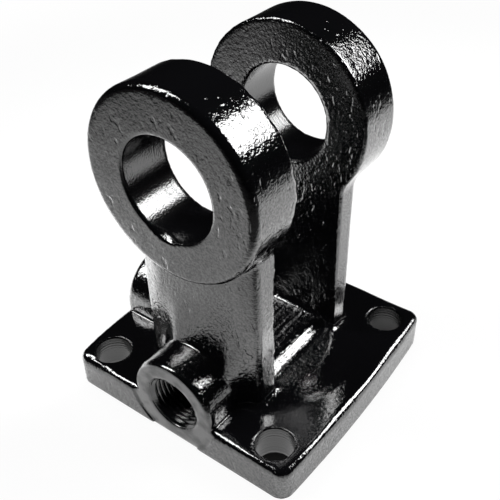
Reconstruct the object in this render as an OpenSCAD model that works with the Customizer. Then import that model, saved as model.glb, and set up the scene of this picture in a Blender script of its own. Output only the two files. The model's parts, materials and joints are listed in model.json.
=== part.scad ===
// Rear end cap of a tie-rod cylinder, with two clevis ears cast on.
// The origin is on the milled base, under the middle of the pin. X runs across the ears,
// Y runs along the pin, from the ported front to the rear, and Z points up.

/* [Pin ears] */
// Diameter of the pin bore through both ears
pin_bore_d = 25.8; // [22:0.1:30]
// Chamfer at each mouth of the pin bore
pin_bore_chamfer = 0.5; // [0.2:0.1:1]
// Height of the pin axis above the base
pin_height = 75.1; // [68:0.1:95]
// Clear width of the slot between the ears
slot_w = 28.9; // [27:0.1:32]
// Outer diameter of the ear bosses
ear_boss_d = 48; // [44:0.1:54]
// Length of each ear boss along the pin
ear_boss_len = 14.7; // [12:0.1:18]
// Rounding of the outer rim of an ear boss
ear_outer_round = 1.8; // [0.8:0.1:3]
// Rounding of the rim of an ear boss beside the slot
ear_slot_round = 0.6; // [0.3:0.1:1]

/* [Ear stems] */
// Width of a stem across the slot
stem_w = 36.9; // [32:0.1:40]
// Thickness of a stem, outward from the slot
stem_t = 8.4; // [7:0.1:10]
// Width of the flat middle of a stem's outer face
stem_flat_w = 26; // [18:0.1:28]
// Slope of the bevels beside that flat, in degrees
stem_bevel = 15; // [8:0.5:20]
// Height over which a bevel runs out above the foot
stem_bevel_run = 1.6; // [1:0.1:4]
// Rounding of the outer upright edges of a stem
stem_round = 3; // [1:0.1:4.5]
// Hollow fillet round the foot of a stem
stem_foot_fillet = 2.4; // [1:0.1:3]

/* [Base plate] */
// Thickness of the plate
plate_t = 10.3; // [9:0.1:12]
// Distance from the tie-rod holes out to the middle of a bowed side
side_margin = 9.2; // [8:0.1:14]
// Distance from the tie-rod holes out to the milled front side
front_margin = 7.1; // [6.5:0.1:12]
// Distance from the tie-rod holes out to the rear side
rear_margin = 8.6; // [7:0.1:14]
// Radius of the bow in the left and right sides
side_bow_r = 460; // [300:10:900]
// Radius of the upright corners
corner_r = 3.4; // [2.5:0.1:5]
// Rounding along the top edge
plate_edge_round = 1.4; // [0.6:0.1:1.8]

/* [Bolt holes] */
// Side of the square of tie-rod holes
bolt_spacing = 56.6; // [54:0.1:66]
// Diameter of a tie-rod hole
bolt_hole_d = 10.2; // [8:0.1:11]
// Chamfer at the top of a tie-rod hole
bolt_hole_chamfer = 0.5; // [0.2:0.1:1]

/* [Hub] */
// Radius of the foot of the raised round pad under the ears
hub_foot_r = 26.4; // [24.5:0.1:28]
// Height of the round pad above the plate
hub_rise = 1.3; // [0.6:0.1:2]
// Height of the saddle between the ears above the plate
saddle_rise = 4; // [3:0.1:6]
// Width of the saddle
saddle_w = 34.2; // [30:0.1:36]
// Rounding of the saddle's shoulders
saddle_round = 2.6; // [1:0.1:2.8]

/* [Port bosses] */
// Outer diameter of the front and left bosses
port_boss_d = 26.4; // [24:0.1:28]
// Height of the boss axes above the base
port_height = 12.2; // [11:0.1:14]
// Rounding of the rim of a boss
port_rim_round = 0.7; // [0.3:0.1:1.2]
// Hollow fillet along the foot of a boss
port_foot_fillet = 2; // [1:0.1:3]
// Bore of the tapped port
port_bore_d = 14; // [11:0.1:15]
// Depth of the tapped port
port_depth = 14; // [12:0.1:15]
// Diameter of the port's countersunk mouth
port_mouth_d = 17.2; // [15.2:0.1:18]
// Diameter of the spot face round the port
spot_face_d = 28.4; // [28.2:0.1:30]
// Depth of the spot face in the front side
spot_face_depth = 0.4; // [0.2:0.1:0.8]
// Diameter of the passage from the base up into the port
passage_d = 8; // [5:0.1:9]

/* [Hidden] */
$fn = 96;
SINK = 1;
CUT = 1;
BOW_FACETS = 720;
DRILL_POINT = 118;
PAINT = [0.05, 0.05, 0.055];
ear_outer = slot_w / 2 + ear_boss_len;
saddle_top = plate_t + saddle_rise;
plate_w = bolt_spacing + 2 * side_margin;
plate_front = bolt_spacing / 2 + front_margin;
plate_rear = bolt_spacing / 2 + rear_margin;
bow_centre = side_bow_r - plate_w / 2;
port_face = plate_front - spot_face_depth;
passage_y = port_depth - port_face;

// Section of a disc of height h with its top rim rounded, from the axis out to radius r
module round_rim_section(r, h, rim) {
    difference() {
        square([r, h]);
        translate([r - rim, h - rim])
            difference() {
                square(rim + CUT);
                circle(rim);
            }
    }
}

// Section of a hollow fillet in the corner between a wall at x = 0 and a floor at y = 0
module fillet_section(r) {
    difference() {
        translate([-SINK, -SINK])
            square(r + SINK);
        translate([r, r])
            circle(r);
    }
}

// Straight hollow fillet from the origin along +Y, against a wall that faces +X
module foot_fillet(length, r) {
    translate([0, length, 0])
        rotate([90, 0, 0])
            linear_extrude(length)
                fillet_section(r);
}

// One bowed side of the plate as a very wide disc with a rounded top rim
module bowed_side(side) {
    translate([-side * bow_centre, 0, 0])
        rotate_extrude($fn = BOW_FACETS)
            round_rim_section(side_bow_r, plate_t, plate_edge_round);
}

// Front and rear sides of the plate, with rounded top edges
module straight_sides() {
    length = plate_front + plate_rear;
    rotate([90, 0, 90])
        translate([-plate_front, 0, -plate_w])
            linear_extrude(2 * plate_w)
                intersection() {
                    round_rim_section(length, plate_t, plate_edge_round);
                    translate([length, 0])
                        mirror([1, 0])
                            round_rim_section(length, plate_t, plate_edge_round);
                }
}

// What comes off one upright corner of the plate, tangent to both sides
module corner_cut(side, y_sign, reach) {
    corner_y = reach - corner_r;
    corner_x = sqrt((side_bow_r - corner_r) ^ 2 - corner_y ^ 2) - bow_centre;
    translate([side * corner_x, y_sign * corner_y, -CUT])
        linear_extrude(plate_t + 2 * CUT)
            difference() {
                scale([side, y_sign])
                    square(2 * corner_r);
                circle(corner_r);
            }
}

module plate() {
    difference() {
        intersection() {
            bowed_side(1);
            bowed_side(-1);
            straight_sides();
        }
        for (side = [-1, 1]) {
            corner_cut(side, -1, plate_front);
            corner_cut(side, 1, plate_rear);
        }
    }
}

// Raised round pad under the ears, with a sloping edge
module hub() {
    translate([0, 0, plate_t - SINK])
        cylinder(r = hub_foot_r, h = SINK);
    translate([0, 0, plate_t])
        cylinder(r1 = hub_foot_r, r2 = hub_foot_r - hub_rise, h = hub_rise);
}

// Saddle across the slot, with rounded shoulders, running into both stems
module saddle() {
    length = slot_w + 2 * SINK;
    rotate([90, 0, 0])
        translate([0, 0, -length / 2])
            linear_extrude(length)
                for (side = [0, 1])
                    mirror([side, 0])
                        round_rim_section(saddle_w / 2, saddle_top, saddle_round);
}

// What a bevel takes off the stem beside its flat, running out on a slope above the foot fillet
module stem_bevel_cut() {
    low = plate_t + stem_foot_fillet;
    translate([stem_flat_w / 2, stem_t, 0])
        rotate([0, 0, -stem_bevel])
            rotate([90, 0, 90])
                linear_extrude(stem_w)
                    polygon([
                        [0, low + stem_bevel_run],
                        [stem_t, low + stem_bevel_run - stem_t],
                        [stem_t, pin_height + CUT],
                        [0, pin_height + CUT]
                    ]);
}

// Stem and round boss of the rear ear
module ear() {
    translate([0, slot_w / 2, 0]) {
        difference() {
            linear_extrude(pin_height)
                for (side = [0, 1])
                    mirror([side, 0])
                        round_rim_section(stem_w / 2, stem_t, stem_round);
            for (side = [0, 1])
                mirror([side, 0, 0])
                    stem_bevel_cut();
        }
        stem_foot();
    }
    translate([0, slot_w / 2, pin_height])
        rotate([-90, 0, 0])
            rotate_extrude()
                intersection() {
                    round_rim_section(ear_boss_d / 2, ear_boss_len, ear_outer_round);
                    translate([0, ear_boss_len])
                        mirror([0, 1])
                            round_rim_section(ear_boss_d / 2, ear_boss_len, ear_slot_round);
                }
}

// Hollow fillet round the outer foot of the stem whose slot face is at y = 0
module stem_foot() {
    corner_x = stem_w / 2 - stem_round;
    corner_y = stem_t - stem_round;
    translate([corner_x, stem_t, plate_t])
        rotate([0, 0, 90])
            foot_fillet(2 * corner_x, stem_foot_fillet);
    for (side = [0, 1])
        mirror([side, 0, 0]) {
            translate([stem_w / 2, 0, plate_t])
                foot_fillet(corner_y, stem_foot_fillet);
            translate([corner_x, corner_y, plate_t])
                rotate_extrude()
                    translate([stem_round, 0])
                        fillet_section(stem_foot_fillet);
        }
}

// Round boss on the port axis, from y = -reach back to y = -root, with fillets along its foot
module port_boss(reach, root) {
    length = reach - root;
    half_w = sqrt((port_boss_d / 2) ^ 2 - (port_height - plate_t) ^ 2);
    intersection() {
        translate([0, -root, port_height])
            rotate([90, 0, 0])
                rotate_extrude()
                    round_rim_section(port_boss_d / 2, length, port_rim_round);
        translate([-port_boss_d, -2 * reach, 0])
            cube([2 * port_boss_d, 4 * reach, 2 * port_boss_d]);
    }
    for (side = [0, 1])
        mirror([side, 0, 0])
            translate([half_w, plate_edge_round - reach, plate_t])
                foot_fillet(length - plate_edge_round, port_foot_fillet);
}

// Left boss, with a ball end under the slot
module left_boss() {
    rotate([0, 0, -90])
        port_boss(plate_w / 2, stem_w / 2);
    intersection() {
        translate([-stem_w / 2, 0, port_height])
            sphere(d = port_boss_d);
        translate([-plate_w, -plate_w, 0])
            cube(2 * plate_w);
    }
}

// Pin bore through both ears, with a chamfer at each of its four mouths
module pin_bore() {
    translate([0, 0, pin_height])
        rotate([90, 0, 0]) {
            translate([0, 0, -ear_outer - CUT])
                cylinder(d = pin_bore_d, h = 2 * (ear_outer + CUT));
            for (y = [-ear_outer, -slot_w / 2, slot_w / 2, ear_outer])
                translate([0, 0, y])
                    mouth(pin_bore_d, pin_bore_chamfer);
        }
}

// Two cones, mouth to mouth, that chamfer a hole of diameter d at z = 0
module mouth(d, chamfer) {
    for (side = [0, 1])
        mirror([0, 0, side])
            cylinder(d1 = d + 2 * chamfer, d2 = d, h = chamfer);
}

module bolt_holes() {
    for (x = [-1, 1], y = [-1, 1])
        translate([x * bolt_spacing / 2, y * bolt_spacing / 2, 0]) {
            translate([0, 0, -CUT])
                cylinder(d = bolt_hole_d, h = plate_t + 2 * CUT);
            translate([0, 0, plate_t])
                mouth(bolt_hole_d, bolt_hole_chamfer);
        }
}

// Spot face, countersunk mouth and tap drilling of the front port, and its passage to the base
module port_cuts() {
    bore_r = port_bore_d / 2;
    translate([0, -port_face, port_height])
        rotate([-90, 0, 0]) {
            translate([0, 0, -spot_face_depth - CUT])
                cylinder(d = spot_face_d, h = spot_face_depth + CUT);
            translate([0, 0, -CUT])
                cylinder(d = port_bore_d, h = port_depth + CUT);
            translate([0, 0, port_depth])
                cylinder(r1 = bore_r, r2 = 0, h = bore_r / tan(DRILL_POINT / 2));
            mouth(port_bore_d, (port_mouth_d - port_bore_d) / 2);
        }
    translate([0, passage_y, -CUT])
        cylinder(d = passage_d, h = port_height + CUT);
}

module clevis_mount() {
    color(PAINT)
        difference() {
            union() {
                plate();
                hub();
                saddle();
                ear();
                mirror([0, 1, 0])
                    ear();
                port_boss(plate_front, slot_w / 2 + SINK);
                left_boss();
            }
            pin_bore();
            bolt_holes();
            port_cuts();
        }
}

clevis_mount();
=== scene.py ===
# %% [markdown]
# A cast clevis mount in gloss black enamel
#
# The object is the rear end cap of a tie-rod cylinder: a square plate with two bored ears cast on it. It is
# one iron casting, sand-cast, machined where something fits, and then sprayed black all over. The packed
# model gives the exact solid. This lesson rebuilds its skin with the soft hollows that a casting has, cuts
# the thread in the port, mixes the enamel, and sets up the studio.

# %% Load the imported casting
import json
import math

import bpy
import numpy as np
from mathutils import Matrix, Vector, noise


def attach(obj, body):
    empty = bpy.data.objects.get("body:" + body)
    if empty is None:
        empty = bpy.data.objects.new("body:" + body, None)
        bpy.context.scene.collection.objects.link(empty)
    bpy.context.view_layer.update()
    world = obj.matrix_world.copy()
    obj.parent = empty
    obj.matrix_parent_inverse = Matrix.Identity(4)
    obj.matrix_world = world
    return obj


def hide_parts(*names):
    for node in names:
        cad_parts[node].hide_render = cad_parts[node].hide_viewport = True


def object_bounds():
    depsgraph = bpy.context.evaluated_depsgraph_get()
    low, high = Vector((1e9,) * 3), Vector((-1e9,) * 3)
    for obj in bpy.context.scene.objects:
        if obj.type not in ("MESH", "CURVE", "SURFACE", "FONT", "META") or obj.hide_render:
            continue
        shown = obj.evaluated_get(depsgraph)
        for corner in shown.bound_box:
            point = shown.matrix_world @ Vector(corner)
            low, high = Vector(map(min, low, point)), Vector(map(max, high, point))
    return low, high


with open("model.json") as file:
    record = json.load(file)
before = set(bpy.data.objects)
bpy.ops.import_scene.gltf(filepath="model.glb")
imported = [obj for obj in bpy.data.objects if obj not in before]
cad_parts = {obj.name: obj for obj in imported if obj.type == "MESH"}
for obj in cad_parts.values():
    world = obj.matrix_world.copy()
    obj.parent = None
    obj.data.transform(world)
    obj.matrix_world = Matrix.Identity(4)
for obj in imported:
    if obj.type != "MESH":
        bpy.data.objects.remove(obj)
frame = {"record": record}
cad_low, cad_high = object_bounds()
CASTING = "clevis_mount"
MM = 0.001
mounts = {mount["name"]: mount for mount in frame["record"]["mounts"]}
print("casting box in mm:", [round(v / MM, 1) for v in (*cad_low, *cad_high)])

# %% [markdown]
# The camera
#
# A photograph taken from nearby has strong perspective, so the camera's distance matters as much as its
# angle. The angle, the place and the lens were fitted to the rims of the pin bore, the outlines of the bosses
# and the edges of the plate, all in the part's own millimetres. The lens shift only says where the picture
# was cropped.

# %% Camera at the photograph's place
AZIMUTH, ELEVATION = math.radians(35.62), math.radians(39.01)
CAMERA_PLACE = Vector((95.8, -123.5, 162.0)) * MM
LENS, SENSOR = 53.37, 36.0
SHIFT_X, SHIFT_Y = -0.0452, 0.0337
NEAREST_SEEN, FARTHEST_SEEN = 0.01, 50

camera = bpy.data.objects.new("camera", bpy.data.cameras.new("camera"))
bpy.context.scene.collection.objects.link(camera)
bpy.context.scene.camera = camera
camera.data.lens, camera.data.sensor_width = LENS, SENSOR
camera.data.shift_x, camera.data.shift_y = SHIFT_X, SHIFT_Y
camera.data.clip_start, camera.data.clip_end = NEAREST_SEEN, FARTHEST_SEEN
camera.location = CAMERA_PLACE
towards_camera = Vector((
    math.sin(AZIMUTH) * math.cos(ELEVATION),
    -math.cos(AZIMUTH) * math.cos(ELEVATION),
    math.sin(ELEVATION),
))
camera.rotation_mode = "QUATERNION"
camera.rotation_quaternion = (-towards_camera).to_track_quat("-Z", "Y")
print("camera", [round(v, 4) for v in camera.location])

# %% [markdown]
# Sizes of the casting
#
# The mounts in the record already hold the sizes of the pin bore, the tie-rod holes and the port, so those
# are read from it. The casting's other main sizes are named here once, in millimetres, with the frame's Z up
# and Y along the pin. What only one form needs is named beside that form.

# %% Sizes, in millimetres
pin_r = mounts["pin_bore"]["dims"]["r_mm"]
pin_z = mounts["pin_bore"]["pos_m"][2] / MM
bolt_r = mounts["tie_rods"]["dims"]["hole_r_mm"]
bolt_reach = mounts["tie_rods"]["dims"]["spacing_x_mm"] / 2
port_r = mounts["port"]["dims"]["r_mm"]
port_z = mounts["port"]["pos_m"][2] / MM
plate_half_w = cad_high.x / MM
plate_front, plate_rear = -cad_low.y / MM, cad_high.y / MM

# Plate, hub and saddle
PLATE_T, CORNER_R, SIDE_BOW_R = 10.3, 3.4, 460.0
HUB_R, HUB_RISE, HUB_ROUND, HUB_SLOPE = 25.2, 1.3, 1.6, math.radians(32)
SADDLE_HALF_W, SADDLE_RISE, SADDLE_ROUND, SADDLE_CROWN_R = 17.1, 4.0, 5.0, 100.0

# Ears and their stems
SLOT_HALF, EAR_R, EAR_LEN, EAR_OUTER_ROUND, EAR_SLOT_ROUND = 14.45, 24.0, 14.7, 1.8, 0.6
STEM_HALF_W, STEM_T, STEM_EDGE_ROUND = 18.45, 8.4, 1.4
STEM_FLAT_HALF, STEM_BEVEL, STEM_BEVEL_ROUND = 13.0, math.radians(15), 0.4

# Bosses and the port
PORT_BOSS_R, SPOT_FACE_R, SPOT_FACE_DEPTH = 13.2, 14.2, 0.4
PORT_DEPTH, MOUTH_R, THREAD_OUTER, PASSAGE_R = 14.0, 8.6, 8.2, 4.0
port_face = -(plate_front - SPOT_FACE_DEPTH)
port_end = port_face + PORT_DEPTH

# Fillets, rims, and how far one form runs into the next
FOOT_FILLET, NECK_FILLET, HUB_FILLET, BOSS_FILLET = 2.4, 1.6, 2.2, 0.35
PIN_RIM, BOLT_RIM = 0.5, 0.25
OVERLAP = 1
print("pin bore r", pin_r, "at height", pin_z, "- port r", port_r, "at height", port_z)

# %% [markdown]
# The casting as a distance field
#
# A sand casting has no sharp inside corners: every place where two walls meet is a hollow fillet, because
# sharp sand would break away and hot metal would crack there. Bevelling a solid with so many crossing edges
# is fragile. A distance field does it in one line: each form says how far a point is outside it, two forms
# are run together with a fillet of a chosen radius, and edges are rounded by the same formula turned inside
# out.

# %% Fillets and rounded edges as formulas
def round_join(a, b, r):
    """Both forms run together, with a hollow fillet of radius r where they meet."""
    return np.maximum(r, np.minimum(a, b)) - np.hypot(np.maximum(r - a, 0), np.maximum(r - b, 0))


def round_trim(a, b, r):
    """What both forms share, with the edge between them rounded to radius r."""
    return np.minimum(-r, np.maximum(a, b)) + np.hypot(np.maximum(r + a, 0), np.maximum(r + b, 0))


buried = -float(round_join(0.0, 0.0, FOOT_FILLET))
print("the foot's fillet buries its sharp corner by", round(buried, 2), "mm")

# %% Plate top, hub, saddle and bosses
def plate_top(x, y, z):
    """The plate's top with its low round hub and the crowned saddle between the ears."""
    slope = (np.hypot(x, y) - HUB_R) * math.sin(HUB_SLOPE) + (z - PLATE_T - HUB_RISE) * math.cos(HUB_SLOPE)
    hub = round_trim(slope, z - PLATE_T - HUB_RISE, HUB_ROUND)
    crown = np.hypot(x, z - PLATE_T - SADDLE_RISE + SADDLE_CROWN_R) - SADDLE_CROWN_R
    saddle = round_trim(np.abs(x) - SADDLE_HALF_W, crown, SADDLE_ROUND)
    saddle = np.maximum(saddle, np.abs(y) - SLOT_HALF - OVERLAP)
    return round_join(round_join(z - PLATE_T, hub, HUB_FILLET), saddle, HUB_ROUND)


def side_bosses(x, y, z):
    """The port's boss in front, and the blank boss on the left with its ball end in the saddle."""
    front = np.maximum(np.hypot(x, z - port_z) - PORT_BOSS_R, y + SLOT_HALF + OVERLAP)
    ball = np.maximum(x + STEM_HALF_W, 0)
    left = np.sqrt(ball**2 + y**2 + (z - port_z) ** 2) - PORT_BOSS_R
    return np.minimum(front, left)


print("hub", HUB_RISE, "mm and saddle", SADDLE_RISE, "mm above the plate's top")

# %% Ears, and a front stem that swells at the port boss
FLARE, FLARE_TOP, FLARE_FOOT = 3.3, 42.0, 21.0
FLARE_MIDDLE, FLARE_HALF_W, FLARE_EDGE = 2.0, 14.5, 7.0
SLOT_WOBBLE, WOBBLE_SHORT, WOBBLE_LONG = 0.5, 0.9, 1.7


def stem_flare(x, y, z):
    """How far the front stem swells forward on its way down to the port boss."""
    run = np.clip((FLARE_TOP - z) / (FLARE_TOP - FLARE_FOOT), 0, 1) * (y < 0)
    inward = np.clip((FLARE_HALF_W - np.abs(x - FLARE_MIDDLE)) / FLARE_EDGE, 0, 1)
    return FLARE * (1 - np.cos(run * math.pi / 2)) * inward**2 * (3 - 2 * inward)


def ears(x, y, z):
    """Both ears: bevelled stem and round boss together, cut flat by the slot, with a ragged edge there."""
    out = np.abs(y)
    boss = round_trim(np.hypot(x, z - pin_z) - EAR_R, out - SLOT_HALF - EAR_LEN, EAR_OUTER_ROUND)
    face = out - SLOT_HALF - STEM_T - stem_flare(x, y, z)
    bevel = face * math.cos(STEM_BEVEL) + (np.abs(x) - STEM_FLAT_HALF) * math.sin(STEM_BEVEL)
    face = round_trim(face, bevel, STEM_BEVEL_ROUND)
    stem = np.maximum(round_trim(np.abs(x) - STEM_HALF_W, face, STEM_EDGE_ROUND), z - pin_z)
    ragged = EAR_SLOT_ROUND * (1 + SLOT_WOBBLE * np.sin(z / WOBBLE_SHORT) * np.sin(z / WOBBLE_LONG + x))
    return round_trim(round_join(stem, boss, NECK_FILLET), SLOT_HALF - out, ragged)


swell = float(stem_flare(FLARE_MIDDLE, -SLOT_HALF, port_z + PORT_BOSS_R))
print("front stem swells by", round(swell, 1), "mm at the port boss's top")

# %% Plate outline, and its hand-ground top edge
EDGE_ROUND, EDGE_WOBBLE = 1.9, 0.3
EDGE_WOBBLE_LENGTH, EDGE_WOBBLE_START = (3.7, 4.3), (0.9, 0.4)
FULL_EDGE, FULL_EDGE_EXTRA, FULL_EDGE_REACH = (-29.0, -35.0), 1.3, 6.0


def fettled_round(x, y):
    """The top edge's rounding: a hand grinder left it uneven, and fullest at the front left hole."""
    along_x = np.sin(x / EDGE_WOBBLE_LENGTH[0] + EDGE_WOBBLE_START[0])
    along_y = np.sin(y / EDGE_WOBBLE_LENGTH[1] + EDGE_WOBBLE_START[1])
    full = np.exp(-(((x - FULL_EDGE[0]) ** 2 + (y - FULL_EDGE[1]) ** 2) / FULL_EDGE_REACH**2))
    return EDGE_ROUND + EDGE_WOBBLE * (along_x * along_y) + FULL_EDGE_EXTRA * full


def plate_outline(x, y):
    """The plate's plan: straight front and rear, bowed sides, round corners."""
    bowed = np.hypot(np.abs(x) + SIDE_BOW_R - plate_half_w, y) - SIDE_BOW_R
    straight = np.maximum(-y - plate_front, y - plate_rear)
    return round_trim(bowed, straight, CORNER_R)


print("top edge rounded by", round(float(fettled_round(*FULL_EDGE)), 2), "mm at the front left hole")

# %% What the machine shop cuts away
DRILL_HALF_ANGLE = math.radians(59)


def machined_cuts(x, y, z):
    """Distances to the pin bore, the tie-rod holes, the port's spot face, the port and its passage."""
    across_port = np.hypot(x, z - port_z)
    tie_rods = np.hypot(np.abs(x) - bolt_reach, np.abs(y) - bolt_reach)
    point_side = (across_port - port_r) * math.sin(DRILL_HALF_ANGLE)
    drill_point = point_side + (y - port_end) * math.cos(DRILL_HALF_ANGLE)
    return {
        "pin": np.hypot(x, z - pin_z) - pin_r,
        "bolts": np.maximum(tie_rods - bolt_r, z - PLATE_T - HUB_RISE),
        "spot_face": np.maximum(across_port - SPOT_FACE_R, y - port_face),
        "port": np.maximum(across_port - THREAD_OUTER, y - port_end),
        "mouth": (across_port - MOUTH_R + y - port_face) * math.sqrt(0.5),
        "drill_point": np.maximum(drill_point, port_end - OVERLAP - y),
        "passage": np.maximum(np.hypot(x, y - port_end) - PASSAGE_R, z - port_z),
    }


print("port drilled", PORT_DEPTH, "mm deep below its spot face")

# %% The finished casting
WORN_RIM, WORN_DEPTH, WORN_REACH, WORN_SLOPE = (-2.0, -29.1, 62.4), 0.9, 4.2, math.radians(57)
POINT_IN_PLATE = (20.0, 0, 5)


def worn_spot(x, y, z, from_bore):
    """A small slanted facet that use has worn into the front bore's rim."""
    from_middle = np.hypot(np.hypot(x - WORN_RIM[0], y - WORN_RIM[1]), z - WORN_RIM[2])
    depth = WORN_DEPTH * np.exp(-((from_middle / WORN_REACH) ** 4))
    out_of_ear = -y - SLOT_HALF - EAR_LEN
    return out_of_ear * math.cos(WORN_SLOPE) - from_bore * math.sin(WORN_SLOPE) + depth


def casting_distance(points):
    """How far each point, in millimetres, lies outside the finished casting."""
    x, y, z = points[..., 0], points[..., 1], points[..., 2]
    solid = round_join(plate_top(x, y, z), ears(x, y, z), FOOT_FILLET)
    solid = round_join(solid, side_bosses(x, y, z), BOSS_FILLET)
    solid = round_trim(solid, plate_outline(x, y), fettled_round(x, y))
    cuts = machined_cuts(x, y, z)
    solid = round_trim(solid, -cuts["pin"], PIN_RIM)
    solid = round_trim(solid, -cuts["bolts"], BOLT_RIM)
    solid = np.maximum(solid, worn_spot(x, y, z, cuts["pin"]))
    for name in ("spot_face", "port", "mouth", "drill_point", "passage"):
        solid = np.maximum(solid, -cuts[name])
    return np.maximum(solid, -z)


print("a point in the plate is inside:", bool(casting_distance(np.array([POINT_IN_PLATE]))[0] < 0))

# %% [markdown]
# From the field to a mesh
#
# Dual contouring lays a grid over the field, finds every grid edge that the surface crosses, and puts one
# vertex in each crossed cell, where the tangent planes at those crossings meet best. A vertex can so sit
# exactly on the rim of a bore, which the simpler marching-cubes way would chip. The cell size sets how fine
# the mesh is, and so how many triangles it has. The cell size keeps the mesh within its budget.

# %% Where the surface crosses the grid
CELL = 0.68
HALVINGS = 14


def crossings(field, corner, inside, axis):
    """Where the surface crosses the grid edges along one axis: the edges' indices and the points."""
    ahead = np.roll(inside, -1, axis)
    crossed = inside != ahead
    last = [slice(None)] * 3
    last[axis] = -1
    crossed[tuple(last)] = False
    index = np.argwhere(crossed)
    start = corner[tuple(index.T)]
    near, far = np.zeros(len(index)), np.full(len(index), CELL)
    starts_inside = inside[tuple(index.T)]
    for _ in range(HALVINGS):
        middle = (near + far) / 2
        point = start.copy()
        point[:, axis] += middle
        same = (field(point) < 0) == starts_inside
        near, far = np.where(same, middle, near), np.where(same, far, middle)
    return index, point, starts_inside


print("grid cells of", CELL, "mm, crossings found to", round(CELL / 2**HALVINGS, 6), "mm")

# %% Tangent planes, and the point where they meet best
STEP = 0.02
CENTRE_PULL = 0.05
POINT_ON_PLATE = (34.0, 0, PLATE_T)


def slopes(field, point):
    """Unit normals of the field at these points."""
    normal = np.empty_like(point)
    for axis in range(3):
        nudge = np.zeros(3)
        nudge[axis] = STEP
        normal[:, axis] = field(point + nudge) - field(point - nudge)
    return normal / np.linalg.norm(normal, axis=1, keepdims=True)


def best_points(cell_of, point, normal, count):
    """In each cell, the point nearest to all its tangent planes, pulled a little to the crossings' middle."""
    def total(values):
        return np.bincount(cell_of, values, count)

    hits = total(np.ones(len(cell_of)))
    centre = np.stack([total(point[:, k]) / hits for k in range(3)], 1)
    height = ((point - centre[cell_of]) * normal).sum(1)
    planes = np.empty((count, 3, 3))
    for i in range(3):
        for j in range(3):
            planes[:, i, j] = total(normal[:, i] * normal[:, j])
    planes += np.eye(3) * CENTRE_PULL * hits[:, None, None]
    pull = np.stack([total(normal[:, k] * height) for k in range(3)], 1)
    move = np.linalg.solve(planes, pull[:, :, None])[:, :, 0]
    return centre + np.clip(move, -CELL, CELL)


print("normal on top of the plate:", slopes(casting_distance, np.array([POINT_ON_PLATE]))[0].round(2))

# %% One mesh from all the cells
# The margins are in cells. One plane of the grid runs halfway between the plate's front and the shallow spot
# face, so that the mesh has both.
MARGIN_LOW, MARGIN_FRONT, MARGIN_HIGH = 2.3, 3, 2


def contour(field, low, high):
    """Vertices and quads of the surface where the field is zero."""
    lines = [np.arange(low[k], high[k] + CELL, CELL) for k in range(3)]
    corner = np.stack(np.meshgrid(*lines, indexing="ij"), -1)
    inside = field(corner) < 0
    cells, points, normals, quads = [], [], [], []
    for axis in range(3):
        index, point, starts_inside = crossings(field, corner, inside, axis)
        side_a, side_b = np.eye(3, dtype=int)[[(axis + 1) % 3, (axis + 2) % 3]]
        around = [index - side_a - side_b, index - side_b, index, index - side_a]
        ring = np.stack([np.ravel_multi_index(tuple(c.T), inside.shape) for c in around], 1)
        ring[~starts_inside] = ring[~starts_inside, ::-1]
        normal = slopes(field, point)
        quads.append(ring)
        cells.append(ring.ravel())
        points.append(np.repeat(point, 4, 0))
        normals.append(np.repeat(normal, 4, 0))
    used, cell_of = np.unique(np.concatenate(cells), return_inverse=True)
    vertices = best_points(cell_of, np.concatenate(points), np.concatenate(normals), len(used))
    return vertices, np.searchsorted(used, np.concatenate(quads))


grid_low = np.array(cad_low) / MM - MARGIN_LOW * CELL
grid_low[1] = port_face - SPOT_FACE_DEPTH / 2 - MARGIN_FRONT * CELL
skin, skin_quads = contour(casting_distance, grid_low, np.array(cad_high) / MM + MARGIN_HIGH * CELL)
print("casting:", len(skin), "vertices,", 2 * len(skin_quads), "triangles")

# %% [markdown]
# The sand's slow waves
#
# The skin of a sand casting isn't flat: the packed sand gives way a little, so walls wander by some
# hundredths of a millimetre over a few millimetres. That is real shape, and it bends the reflections, so it
# goes into the vertices. What was bored, drilled or milled afterwards stays true.
#
# Each vertex also remembers where it lies: whether it was machined, drilled or spot-faced, whether it lies
# flat on the plate, where wet paint pools and levels out, whether it is on an ear's wall in the slot, which
# no spray gun reaches well, and whether it is on the part of the saddle that has streaks. The enamel reads
# those shares later.

# %% What each vertex remembers
NEAR_CUT = 0.3
POOL_TILT = 0.75
SLOT_FADE = 9
STREAK_MIDDLE, STREAK_REACH, STREAK_MARGIN = 5.5, 5, 1
STREAK_TILT, STREAK_ABOVE_HUB = 0.9, 0.5


def within(distance, reach):
    """1 within the reach, falling to 0 at twice the reach."""
    return np.clip(2 - distance / reach, 0, 1)


def skin_shares(points, normals):
    """For each finish, a share from 0 to 1 at every vertex."""
    x, y, z = points.T
    upward = normals[:, 2]
    cuts = machined_cuts(x, y, z)
    gap = np.abs(np.stack([*cuts.values(), z])).min(0)
    flat = np.clip((upward - POOL_TILT) / (1 - POOL_TILT), 0, 1)
    ear_wall = np.abs(np.abs(y) - SLOT_HALF) < NEAR_CUT
    streaked = within(np.abs(x - STREAK_MIDDLE), STREAK_REACH)
    streaked = streaked * np.clip(SLOT_HALF - STREAK_MARGIN - np.abs(y), 0, 1)
    on_top = (upward > STREAK_TILT) * (z > PLATE_T + HUB_RISE + STREAK_ABOVE_HUB)
    return {
        "machined": within(gap, NEAR_CUT),
        "drilled": (np.abs(cuts["bolts"]) < NEAR_CUT) * 1.0,
        "faced": (np.abs(cuts["spot_face"]) < NEAR_CUT) * 1.0,
        "pooled": flat * (z < PLATE_T + HUB_RISE),
        "in_slot": ear_wall * np.clip((z - pin_z + EAR_R) / SLOT_FADE, 0, 1),
        "on_saddle": streaked * on_top,
    }


skin_normals = slopes(casting_distance, skin)
shares = skin_shares(skin, skin_normals)
print("vertices with a share:", {name: int((share > 0).sum()) for name, share in shares.items()})

# %% Wavy cast walls, true machined faces
WAVE_LENGTH, WAVE_DEPTH, WAVE_SEED = 7.0, 0.07, 3.1
RIPPLE_LENGTH, RIPPLE_DEPTH, RIPPLE_SEED = 2.4, 0.012, 8.7
SEED_DIRECTION = (1, 2.3, -1.7)


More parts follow.
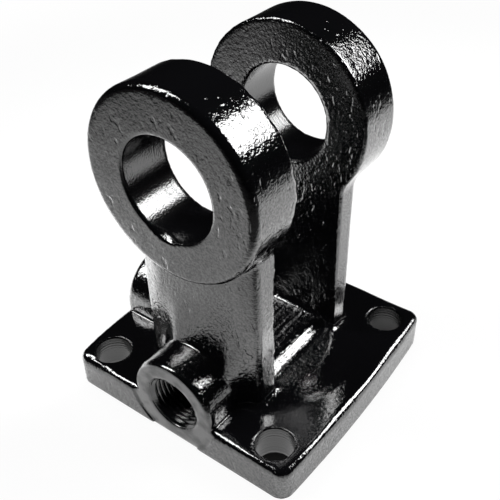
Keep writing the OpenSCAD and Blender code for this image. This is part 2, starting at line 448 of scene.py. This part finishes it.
def field_noise(points, length, seed):
    """Smooth noise from -1 to 1 whose hills are about length apart."""
    offset = Vector([k * seed for k in SEED_DIRECTION])
    return np.array([noise.noise(Vector(p) / length + offset) for p in points])


waves = WAVE_DEPTH * field_noise(skin, WAVE_LENGTH, WAVE_SEED)
waves = waves + RIPPLE_DEPTH * field_noise(skin, RIPPLE_LENGTH, RIPPLE_SEED)
skin = skin + skin_normals * (waves * (1 - shares["machined"]))[:, None]
skin = np.clip(skin, np.array(cad_low) / MM, np.array(cad_high) / MM)
print("waves from", round(float(waves.min()), 3), "to", round(float(waves.max()), 3), "mm")

# %% One mesh for the casting
def make_piece(name, vertices, faces, remembered):
    """A smooth-shaded mesh that rides the part, from vertices in millimetres and their shares."""
    mesh = bpy.data.meshes.new(name)
    mesh.from_pydata((vertices * MM).tolist(), [], faces.tolist())
    mesh.shade_smooth()
    for share_name, share in remembered.items():
        mesh.attributes.new(share_name, "FLOAT", "POINT").data.foreach_set("value", share.astype(np.float32))
    piece = bpy.data.objects.new(name, mesh)
    bpy.context.scene.collection.objects.link(piece)
    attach(piece, "root")
    return piece


casting = make_piece("casting", skin, skin_quads, shares)
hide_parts(CASTING)
print("casting mesh:", len(casting.data.vertices), "vertices")

# %% [markdown]
# The thread in the port
#
# The port is tapped for a pipe fitting. A thread is a ridge that climbs by one pitch in each turn, so its
# wall can be written as a radius that depends on depth and angle. A screw modifier could sweep a ridge too,
# but the formula lets the countersink trim the first turns. A sleeve with that inner wall is set into the
# port, and its plain outside is buried in the metal.

# %% Helical thread
PITCH, THREAD_DEPTH, SLEEVE_WALL = 1.41, 1.0, 0.25
AROUND, ROWS_PER_PITCH = 96, 10
thread_start = MOUTH_R - THREAD_OUTER


def thread_radius(depth, turn):
    """Radius of the thread's wall at a depth below the spot face and a share of a turn."""
    flank = np.abs(2 * np.mod(depth / PITCH + turn, 1) - 1)
    wall = port_r + THREAD_DEPTH * flank
    return np.clip(wall, MOUTH_R - depth, THREAD_OUTER)


def strip(a, b):
    """Quads between two closed rows of vertices."""
    return np.stack([a, np.roll(a, -1), np.roll(b, -1), b], 1)


rows = int(PORT_DEPTH / PITCH * ROWS_PER_PITCH)
depths = np.linspace(thread_start, PORT_DEPTH, rows)
depth, turn = np.meshgrid(depths, np.arange(AROUND) / AROUND, indexing="ij")
angle = 2 * np.pi * turn
inner = thread_radius(depth, turn)
walls = [
    np.stack([r * np.cos(angle), port_face + depth, port_z + r * np.sin(angle)], -1)
    for r in (inner, np.full_like(inner, THREAD_OUTER + SLEEVE_WALL))
]
ring = np.arange(rows * AROUND).reshape(rows, AROUND)
outside = ring + rows * AROUND
wall_quads = np.concatenate([strip(ring[k], ring[k + 1]) for k in range(rows - 1)])
outer_quads = np.concatenate([strip(outside[k + 1], outside[k]) for k in range(rows - 1)])
caps = np.concatenate([strip(outside[0], ring[0]), strip(ring[-1], outside[-1])])
sleeve = np.concatenate([wall.reshape(-1, 3) for wall in walls])
thread_quads = np.concatenate([wall_quads, outer_quads, caps])
thread = make_piece("port_thread", sleeve, thread_quads, {"machined": np.ones(len(sleeve))})
print("thread:", 2 * len(thread.data.polygons), "triangles over", round(PORT_DEPTH / PITCH, 1), "turns")

# %% [markdown]
# Writing shaders as sums
#
# A finish is a handful of formulas, and formulas read best as formulas. The class below wraps one output of a
# shader node. Adding or multiplying two of them puts a Math node between them, and any other node comes from
# its one method, which sets the node up before it links anything to it.

# %% A socket that can be added and multiplied
class Wire:
    """One value in a node tree."""

    def __init__(self, tree, socket=None):
        self.tree = tree
        self.socket = socket

    def node(self, kind, settings=None, inputs=None, output=0):
        """A new node: its settings are made first, then its inputs are set or linked. Gives one output."""
        made = self.tree.nodes.new(kind)
        for name, value in (settings or {}).items():
            setattr(made, name, value)
        for name, value in (inputs or {}).items():
            if isinstance(value, Wire):
                self.tree.links.new(value.socket, made.inputs[name])
            else:
                made.inputs[name].default_value = value
        return Wire(self.tree, made.outputs[output] if made.outputs else None)

    def math(self, operation, a, b):
        """A Math node on two values."""
        return self.node("ShaderNodeMath", {"operation": operation}, {0: a, 1: b})

    def ramp(self, low, high):
        """0 below low and 1 above high, smooth in between."""
        limits = {"Value": self, "From Min": low, "From Max": high}
        return self.node("ShaderNodeMapRange", {"interpolation_type": "SMOOTHSTEP"}, limits)

    def __add__(self, other):
        return self.math("ADD", self, other)

    def __mul__(self, other):
        return self.math("MULTIPLY", self, other)

    def __sub__(self, other):
        return self.math("SUBTRACT", self, other)

    def __rsub__(self, other):
        return self.math("SUBTRACT", other, self)

    __radd__ = __add__
    __rmul__ = __mul__


def empty_tree(owner):
    """Clears the node tree of a material or a world, and gives a wire to start its formulas from."""
    owner.use_nodes = True
    owner.node_tree.nodes.clear()
    return Wire(owner.node_tree)


print("shader formulas ready")

# %% Places, shares and noise to start a formula from
PER_MM = 1 / MM
X, Y, Z = 0, 1, 2
SHARE_OUTPUT = 2
PLAIN, DETAILED, CLOUD_ROUGHNESS = 1.0, 2.0, 0.45


def along(start, place, axis):
    """One coordinate of a place."""
    return start.node("ShaderNodeSeparateXYZ", None, {"Vector": place}, output=axis)


def stretched(start, place, stretch, slant=(0, 0, 0)):
    """The same place stretched and turned, so that noise read there has a direction."""
    return start.node("ShaderNodeMapping", None, {"Vector": place, "Rotation": slant, "Scale": stretch})


def share_of(start, name):
    """One of the shares that the vertices remember."""
    return start.node("ShaderNodeAttribute", {"attribute_name": name}, output=SHARE_OUTPUT)


def cloud(start, place, length, detail=DETAILED):
    """Smooth noise with features of about this length in millimetres, around 0.5."""
    look = {"Scale": PER_MM / length, "Detail": detail, "Roughness": CLOUD_ROUGHNESS}
    return start.node("ShaderNodeTexNoise", None, {"Vector": place, **look})


print("the enamel can read", ", ".join(shares))

# %% [markdown]
# Gloss black enamel over two skins
#
# The paint is one coat of gloss enamel, and it hides nothing. Over the cast skin it shows the sand as a
# leathery orange peel with level wrinkles, fine grain, and small pits where a grain broke out. On the flat
# plate the wet paint pooled, so the pits are filled and the peel is lower there. The peel is higher on the
# ears' walls in the slot, and on the saddle the paint ran in streaks from ear to ear. Over the bores and the
# spot face the paint lies flat, with only fine grain and the faint rings that the tool left. All of it is
# noise in the part's own millimetres, because a picture of paint would blur up close and show where it ends.
#
# The colour is nearly black, so almost all that is seen is reflection. Thick enamel reflects more than plain
# plastic does, so the index of refraction is set higher. A clear coat that comes and goes makes fine specks
# on the cast skin and smudges on the spot face.

# %% The relief under the paint, in millimetres
PEEL, PEEL_HEIGHT = 0.95, 0.090
WRINKLE, WRINKLE_HEIGHT, WRINKLE_STRETCH = 0.5, 0.022, (0.3, 0.3, 1.0)
GRAIN, GRAIN_HEIGHT = 0.42, 0.046
PIT, PIT_DEPTH, PIT_WALL = 1.7, 0.100, (0.28, 0.42)
PIT_SLANT, PIT_STRETCH = (0.4, 0.7, 0.3), (1.0, 1.0, 0.55)
PITTED_AREA, PITTED_EDGE = 7 * PIT, (0.36, 0.56)
STREAK, STREAK_HEIGHT, STREAK_STRETCH = 1.9, 0.7, (1.0, 0.16, 1.0)
POOLED_LEVEL, SLOT_LEVEL = 0.6, 0.5
TOOL_RING, TOOL_HEIGHT, TOOL_GRAIN, DRILL_LEVEL = 0.5, 0.020, 0.042, 2.5


def cast_relief(start, place):
    """Height of the painted cast skin: orange peel, wrinkles, grain, pits, and the saddle's streaks."""
    pooled, in_slot = share_of(start, "pooled"), share_of(start, "in_slot")
    pit = 1 - cloud(start, stretched(start, place, PIT_STRETCH, PIT_SLANT), PIT, PLAIN).ramp(*PIT_WALL)
    pit = pit * cloud(start, place, PITTED_AREA).ramp(*PITTED_EDGE)
    wrinkles = cloud(start, stretched(start, place, WRINKLE_STRETCH), WRINKLE, PLAIN) * WRINKLE_HEIGHT
    peel = cloud(start, place, PEEL) * PEEL_HEIGHT + wrinkles
    peel = peel + cloud(start, place, GRAIN, PLAIN) * GRAIN_HEIGHT - pit * (1 - pooled) * PIT_DEPTH
    streaks = cloud(start, stretched(start, place, STREAK_STRETCH), STREAK, PLAIN) * STREAK_HEIGHT
    return peel * (1 - POOLED_LEVEL * pooled + SLOT_LEVEL * in_slot) + streaks * share_of(start, "on_saddle")


def tool_relief(start, place):
    """Height of the painted machined skin: fine grain, and faint rings along the tool's axis."""
    drilled = share_of(start, "drilled")
    depth = along(start, place, Y) * (1 - drilled) + along(start, place, Z) * drilled
    rings = {"W": depth * (PER_MM / TOOL_RING), "Scale": 1.0, "Detail": DETAILED}
    rings = start.node("ShaderNodeTexNoise", {"noise_dimensions": "1D"}, rings)
    return rings * TOOL_HEIGHT * (1 + DRILL_LEVEL * drilled) + cloud(start, place, GRAIN, PLAIN) * TOOL_GRAIN


print("orange peel", PEEL, "mm wide and", PEEL_HEIGHT, "mm high, pits", PIT_DEPTH, "mm deep")

# %% Black enamel
BLACK = (0.0025, 0.0025, 0.003, 1)
ENAMEL_IOR = 2.0
HAZE, HAZE_DETAIL, HAZE_SPAN = 9.0, 3.0, 0.06
GLOSS_ROUGHNESS, CUT_ROUGHNESS, COAT_ROUGHNESS = 0.04, 0.08, 0.1
SPECK, SPECK_EDGE = 0.5, (0.36, 0.64)
SMUDGE, SMUDGE_DETAIL, SMUDGE_EDGE = 4.0, 3.0, (0.34, 0.58)


def black_enamel():
    """The whole finish, one material for the casting and its thread."""
    material = bpy.data.materials.new("black_enamel")
    start = empty_tree(material)
    place = start.node("ShaderNodeTexCoord", output="Object")
    cut = share_of(start, "machined")
    height = cast_relief(start, place) * (1 - cut) + tool_relief(start, place) * cut
    speck = cloud(start, place, SPECK).ramp(*SPECK_EDGE)
    smudge = cloud(start, place, SMUDGE, SMUDGE_DETAIL).ramp(*SMUDGE_EDGE)
    haze = cloud(start, place, HAZE, HAZE_DETAIL) * HAZE_SPAN
    gloss = start.node("ShaderNodeBsdfPrincipled", None, {
        "Base Color": BLACK,
        "Roughness": haze + GLOSS_ROUGHNESS + CUT_ROUGHNESS * cut,
        "IOR": ENAMEL_IOR,
        "Coat Weight": speck * (1 - cut) + smudge * share_of(start, "faced"),
        "Coat Roughness": COAT_ROUGHNESS,
        "Normal": start.node("ShaderNodeBump", None, {"Strength": 1.0, "Distance": MM, "Height": height}),
    })
    start.node("ShaderNodeOutputMaterial", None, {"Surface": gloss})
    return material


black = black_enamel()
for piece in (casting, thread):
    piece.data.materials.append(black)
print("enamel nodes:", len(black.node_tree.nodes))

# %% [markdown]
# The studio
#
# The part stands on a white sheet in a dark room. Gloss black shows its surroundings and little else: walls
# that face the sheet come out grey, and faces that look up into the room come out black. The camera sees the
# sheet as plain white, with a little of the part's shadow; under the plate, through the tie-rod holes, it
# sees a painted shade, a dark colour where the part covers the sheet. In the enamel's reflections it is a lit
# sheet with a faint glow of its own, brightest around the part and behind it on the right. Its colour is
# painted darker with distance, to the front and to the front right, a painted falloff of light, and its glow
# falls off the same way. Under the plate it glows as well, most of all in front, which greys the tie-rod
# holes. The glow stands in for the rest of the real room's light, which isn't modelled.

# %% White sheet
SHEET_HALF = 20.0

sheet_mesh = bpy.data.meshes.new("white_sheet")
corners = [(-1, -1), (1, -1), (1, 1), (-1, 1)]
sheet_mesh.from_pydata([(x * SHEET_HALF, y * SHEET_HALF, cad_low.z) for x, y in corners], [], [(0, 1, 2, 3)])
sheet = bpy.data.objects.new("white_sheet", sheet_mesh)
bpy.context.scene.collection.objects.link(sheet)
print("sheet at z =", round(cad_low.z, 5))

# %% What the sheet shows to the camera and to the enamel
# The dark colour is painted shade: the sheet under the plate, seen through the tie-rod holes, and the sheet
# far out, where its colour fades to it.
PURE_WHITE, SHEET_WHITE, SHEET_PAINTED_SHADE = (1, 1, 1, 1), (0.9, 0.9, 0.9, 1), (0.02, 0.02, 0.02, 1)
# Where the painted falloff of the sheet's colour and glow begins and ends, in metres.
SHEET_MIDDLE, SHEET_EDGE = (0.04, 0.05, 0), (0.15, 0.38)
SHEET_FRONT, FRONT_LOSS = (-0.07, -0.03), 0.3
SHEET_CORNER, CORNER_LOSS = (0.06, 0.15), 0.95
SHADOW_SHARE, GLOSSY_GLOW = 0.10, 0.15
UNDER_GLOW, UNDER_LOSS, UNDER_REAR, UNDER_EDGE = 0.6, 0.93, (-0.02, 0.02), 0.94
MIX_FACTOR, MIX_A, MIX_B, MIX_RESULT = 0, 6, 7, 2


def ray_is(start, kind):
    """1 for rays of this kind, and 0 for all others."""
    return start.node("ShaderNodeLightPath", output=f"Is {kind} Ray")


def white_sheet():
    """White to the camera with the part's shadow kept and painted shade under the plate; uneven in the
    enamel's reflections, where its colour is painted darker farther out.
    """
    material = bpy.data.materials.new("white_sheet")
    start = empty_tree(material)
    place = start.node("ShaderNodeTexCoord", output="Object")
    from_middle = {0: place, 1: SHEET_MIDDLE}
    reach = start.node("ShaderNodeVectorMath", {"operation": "DISTANCE"}, from_middle, output="Value")
    to_right, to_rear = along(start, place, X), along(start, place, Y)
    # near is a painted falloff of light: it darkens the sheet's colour and its glow with distance, to the
    # front and to the front right.
    near = (1 - reach.ramp(*SHEET_EDGE)) * (to_rear.ramp(*SHEET_FRONT) * FRONT_LOSS + (1 - FRONT_LOSS))
    near = near * (1 - CORNER_LOSS * (to_right - to_rear).ramp(*SHEET_CORNER))
    off_middle = start.math("MAXIMUM", *(start.math("ABSOLUTE", side, 0.0) for side in (to_right, to_rear)))
    open_air = off_middle.ramp(plate_front * MM * UNDER_EDGE, plate_front * MM)
    under = UNDER_GLOW * (1 - UNDER_LOSS * to_rear.ramp(*UNDER_REAR))
    camera_ray = ray_is(start, "Camera")
    reflected = ray_is(start, "Glossy") + ray_is(start, "Transmission")
    glow = camera_ray * (1 - SHADOW_SHARE * near) * open_air
    glow = glow + reflected * (near * GLOSSY_GLOW * open_air + (1 - open_air) * under)
    # The sheet's colour is painted: dark under the plate for the camera, and fading to dark where near falls
    # off.
    colours = {MIX_FACTOR: near * (1 - camera_ray * (1 - open_air)), MIX_A: SHEET_PAINTED_SHADE, MIX_B: SHEET_WHITE}
    colour = start.node("ShaderNodeMix", {"data_type": "RGBA"}, colours, output=MIX_RESULT)
    matt = start.node("ShaderNodeBsdfDiffuse", None, {"Color": colour})
    white = start.node("ShaderNodeEmission", None, {"Color": PURE_WHITE, "Strength": 1.0})
    both = start.node("ShaderNodeMixShader", None, {0: glow, 1: matt, 2: white})
    start.node("ShaderNodeOutputMaterial", None, {"Surface": both})
    return material


sheet_mesh.materials.append(white_sheet())
print("sheet nodes:", len(sheet_mesh.materials[0].node_tree.nodes))

# %% Dark room, white to the camera
ROOM = 0.002


def dark_room():
    """A room that lights next to nothing, and that the camera sees as a white wall."""
    world = bpy.data.worlds.new("room")
    start = empty_tree(world)
    level = ray_is(start, "Camera") * (1 - ROOM) + ROOM
    glow = start.node("ShaderNodeBackground", None, {"Color": PURE_WHITE, "Strength": level})
    start.node("ShaderNodeOutputWorld", None, {"Surface": glow})
    return world


bpy.context.scene.world = dark_room()
bpy.context.scene.view_settings.view_transform = "Standard"
print("view transform:", bpy.context.scene.view_settings.view_transform)

# %% [markdown]
# The lamps
#
# On gloss black a lamp is first of all a shape that is mirrored, so its outline and its place count more than
# its power. One softbox stands behind the part on the right and draws the white patches, and the other hangs
# in front on the left and draws the rims. A ceiling fill lights the sheet, and it is hidden from glossy rays,
# because its own mirror image would whiten every level face. A spot brightens a pool of the sheet in front on
# the left, for the part's front faces to mirror.

# %% Two softboxes and a ceiling fill
AIM = Vector((0, 0, 0.05))
DISTANCE = 0.8


def softbox(name, direction, across, width, height, radiance):
    """A rectangular lamp that faces the part, its width along across; radiance is its brightness."""
    lamp = bpy.data.lights.new(name, "AREA")
    lamp.shape, lamp.size, lamp.size_y = "RECTANGLE", width, height
    lamp.energy = radiance * math.pi * width * height
    box = bpy.data.objects.new(name, lamp)
    bpy.context.scene.collection.objects.link(box)
    back = Vector(direction).normalized()
    up = back.cross(Vector(across)).normalized()
    turn = Matrix((up.cross(back), up, back)).transposed()
    box.matrix_world = Matrix.Translation(AIM + back * DISTANCE) @ turn.to_4x4()
    print(name, "at", [round(v, 2) for v in box.location])
    return box


softbox(
    "rear_softbox", direction=(0.494, 0.603, 0.627), across=(-0.78, 0, 0.63),
    width=0.38, height=0.31, radiance=12,
)
softbox(
    "front_softbox", direction=(-0.572, -0.372, 0.73), across=(0.60, 0.375, 0.705),
    width=0.52, height=0.19, radiance=12,
)
ceiling = softbox(
    "ceiling_fill", direction=(0, 0.05, 1), across=(1, 0, 0),
    width=0.8, height=0.8, radiance=3.0,
)
ceiling.visible_glossy = False

# %% A spot on the sheet
POOL_MIDDLE, POOL_RADIUS = Vector((-0.080, -0.040, 0)), 0.046
SPOT_PLACE, SPOT_WATTS = Vector((-0.16, -0.08, 0.35)), 11
SPOT_LAMP_R, SPOT_SOFT_EDGE = 0.01, 1.0

spot_reach = POOL_MIDDLE - SPOT_PLACE
spot_data = bpy.data.lights.new("sheet_spot", "SPOT")
spot_data.energy, spot_data.shadow_soft_size, spot_data.spot_blend = SPOT_WATTS, SPOT_LAMP_R, SPOT_SOFT_EDGE
spot_data.spot_size = 2 * math.atan(POOL_RADIUS / spot_reach.length)
spot = bpy.data.objects.new("sheet_spot", spot_data)
bpy.context.scene.collection.objects.link(spot)
spot.matrix_world = Matrix.Translation(SPOT_PLACE) @ spot_reach.to_track_quat("-Z", "Y").to_matrix().to_4x4()
print("spot lights", round(2 * POOL_RADIUS / MM), "mm of the sheet")
